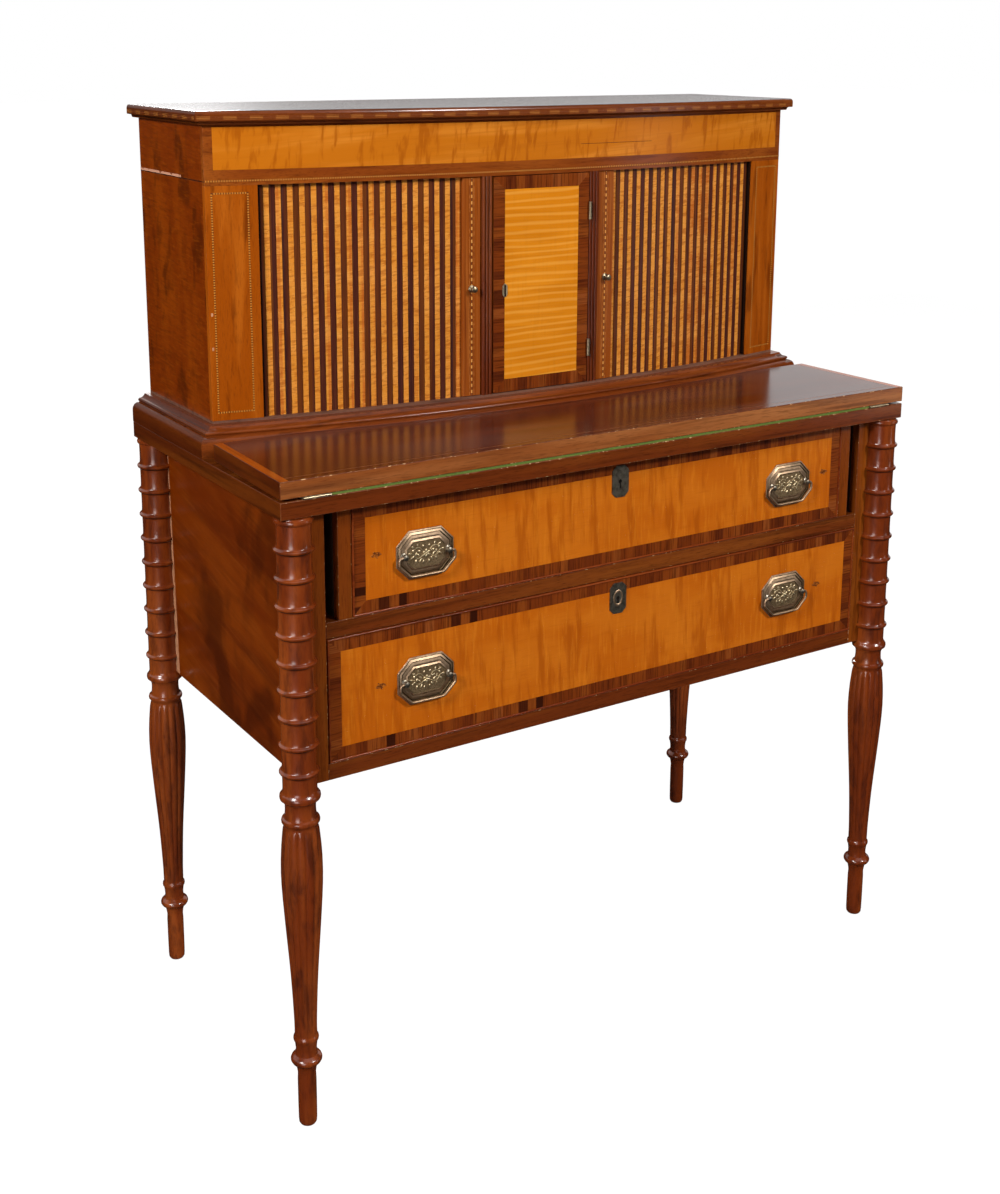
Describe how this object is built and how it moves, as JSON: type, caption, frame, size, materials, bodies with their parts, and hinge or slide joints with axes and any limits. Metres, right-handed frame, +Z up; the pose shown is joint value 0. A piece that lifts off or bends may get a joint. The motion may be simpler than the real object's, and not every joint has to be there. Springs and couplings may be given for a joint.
{
  "type": "tambour writing desk",
  "caption": "Writing desk on turned reeded legs: long drawers, fold-over writing leaf on pull-out supports, and a bowed upper case with a door between sliding tambours",
  "frame": {"origin": "on the floor under the middle of the desk's bounding box", "axes": "+Z up, -Y front, X across the width"},
  "size_m": [0.9328, 0.4636, 1.168],
  "materials": {
    "mahogany": "polished dark mahogany",
    "mahogany_panel": "polished orange-brown mahogany veneer",
    "satinwood": "polished golden satinwood veneer",
    "rosewood": "polished rosewood",
    "pine": "plain pine, oiled",
    "green_baize": "green wool baize",
    "aged_brass": "aged brass, soft shine"
  },
  "bodies": {
    "case_body": {"leg_front_left": "mahogany", "leg_front_right": "mahogany", "leg_rear_left": "mahogany", "leg_rear_right": "mahogany", "lower_side_left": "mahogany_panel", "lower_side_right": "mahogany_panel", "lower_back": "pine", "front_stiles": "mahogany", "middle_rail": "mahogany", "bottom_rail": "mahogany", "drawer_runners": "pine", "loper_guides": "pine", "writing_bed": "mahogany", "bed_baize": "green_baize", "leaf_hinge_bed_plates": "aged_brass", "plinth": "mahogany", "case_floor": "mahogany", "case_soffit": "pine", "upper_side_left": "mahogany_panel", "upper_side_right": "mahogany_panel", "upper_back": "pine", "pilasters": "mahogany_panel", "frieze": "satinwood", "top_board": "mahogany", "door_dividers": "mahogany", "pigeonholes": "pine", "door_hinge_case_plates": "aged_brass", "tambour_slats_left": "satinwood", "tambour_slats_right": "satinwood"},
    "loper_left_body": {"loper_left": "mahogany"},
    "tambour_left_body": {"tambour_stile_left": "mahogany", "tambour_knob_left": "aged_brass"},
    "loper_right_body": {"loper_right": "mahogany"},
    "tambour_right_body": {"tambour_stile_right": "mahogany", "tambour_knob_right": "aged_brass"},
    "upper_drawer_body": {"upper_drawer_front": "pine", "upper_drawer_veneer": "satinwood", "upper_drawer_cockbead": "rosewood", "upper_drawer_box": "pine", "upper_drawer_lock": "aged_brass", "upper_drawer_escutcheon": "aged_brass", "upper_drawer_pull_plates": "aged_brass"},
    "upper_drawer_bail_left_body": {"upper_drawer_bail_left": "aged_brass"},
    "upper_drawer_bail_right_body": {"upper_drawer_bail_right": "aged_brass"},
    "lower_drawer_body": {"lower_drawer_front": "pine", "lower_drawer_veneer": "satinwood", "lower_drawer_cockbead": "rosewood", "lower_drawer_box": "pine", "lower_drawer_lock": "aged_brass", "lower_drawer_escutcheon": "aged_brass", "lower_drawer_pull_plates": "aged_brass"},
    "lower_drawer_bail_left_body": {"lower_drawer_bail_left": "aged_brass"},
    "lower_drawer_bail_right_body": {"lower_drawer_bail_right": "aged_brass"},
    "leaf_body": {"writing_leaf": "mahogany", "leaf_baize": "green_baize", "leaf_hinge_leaf_plates": "aged_brass"},
    "door_body": {"door_panel": "mahogany", "door_veneer": "satinwood", "door_escutcheon": "aged_brass", "door_hinge_door_plates": "aged_brass"}
  },
  "joints": [
    {"name": "upper_drawer_slide", "type": "slide", "parent": "case_body", "child": "upper_drawer_body", "axis": [0, -1, 0], "range_m": [0, 0.28]},
    {"name": "upper_drawer_bail_left_hinge", "type": "hinge", "parent": "upper_drawer_body", "child": "upper_drawer_bail_left_body", "pos_m": [-0.277, -0.2111, 0.675], "axis": [-1, 0, 0], "range_deg": [0, 90]},
    {"name": "upper_drawer_bail_right_hinge", "type": "hinge", "parent": "upper_drawer_body", "child": "upper_drawer_bail_right_body", "pos_m": [0.277, -0.2111, 0.675], "axis": [-1, 0, 0], "range_deg": [0, 90]},
    {"name": "lower_drawer_slide", "type": "slide", "parent": "case_body", "child": "lower_drawer_body", "axis": [0, -1, 0], "range_m": [0, 0.28]},
    {"name": "lower_drawer_bail_left_hinge", "type": "hinge", "parent": "lower_drawer_body", "child": "lower_drawer_bail_left_body", "pos_m": [-0.277, -0.2111, 0.522], "axis": [-1, 0, 0], "range_deg": [0, 90]},
    {"name": "lower_drawer_bail_right_hinge", "type": "hinge", "parent": "lower_drawer_body", "child": "lower_drawer_bail_right_body", "pos_m": [0.277, -0.2111, 0.522], "axis": [-1, 0, 0], "range_deg": [0, 90]},
    {"name": "loper_left_slide", "type": "slide", "parent": "case_body", "child": "loper_left_body", "axis": [0, -1, 0], "range_m": [0, 0.24]},
    {"name": "loper_right_slide", "type": "slide", "parent": "case_body", "child": "loper_right_body", "axis": [0, -1, 0], "range_m": [0, 0.24]},
    {"name": "leaf_hinge", "type": "hinge", "parent": "case_body", "child": "leaf_body", "pos_m": [0.42, -0.2228, 0.7675], "axis": [1, 0, 0], "range_deg": [0, 180]},
    {"name": "door_hinge", "type": "hinge", "parent": "case_body", "child": "door_body", "pos_m": [0.0737, -0.0303, 0.942], "axis": [0, 0, 1], "range_deg": [0, 110]},
    {"name": "tambour_left_run", "type": "hinge", "parent": "case_body", "child": "tambour_left_body", "pos_m": [0, 2.0705, 0.942], "axis": [0, 0, -1], "range_deg": [0, 7], "deforming": ["tambour_slats_left"]},
    {"name": "tambour_right_run", "type": "hinge", "parent": "case_body", "child": "tambour_right_body", "pos_m": [0, 2.0705, 0.942], "axis": [0, 0, 1], "range_deg": [0, 7], "deforming": ["tambour_slats_right"]}
  ]
}
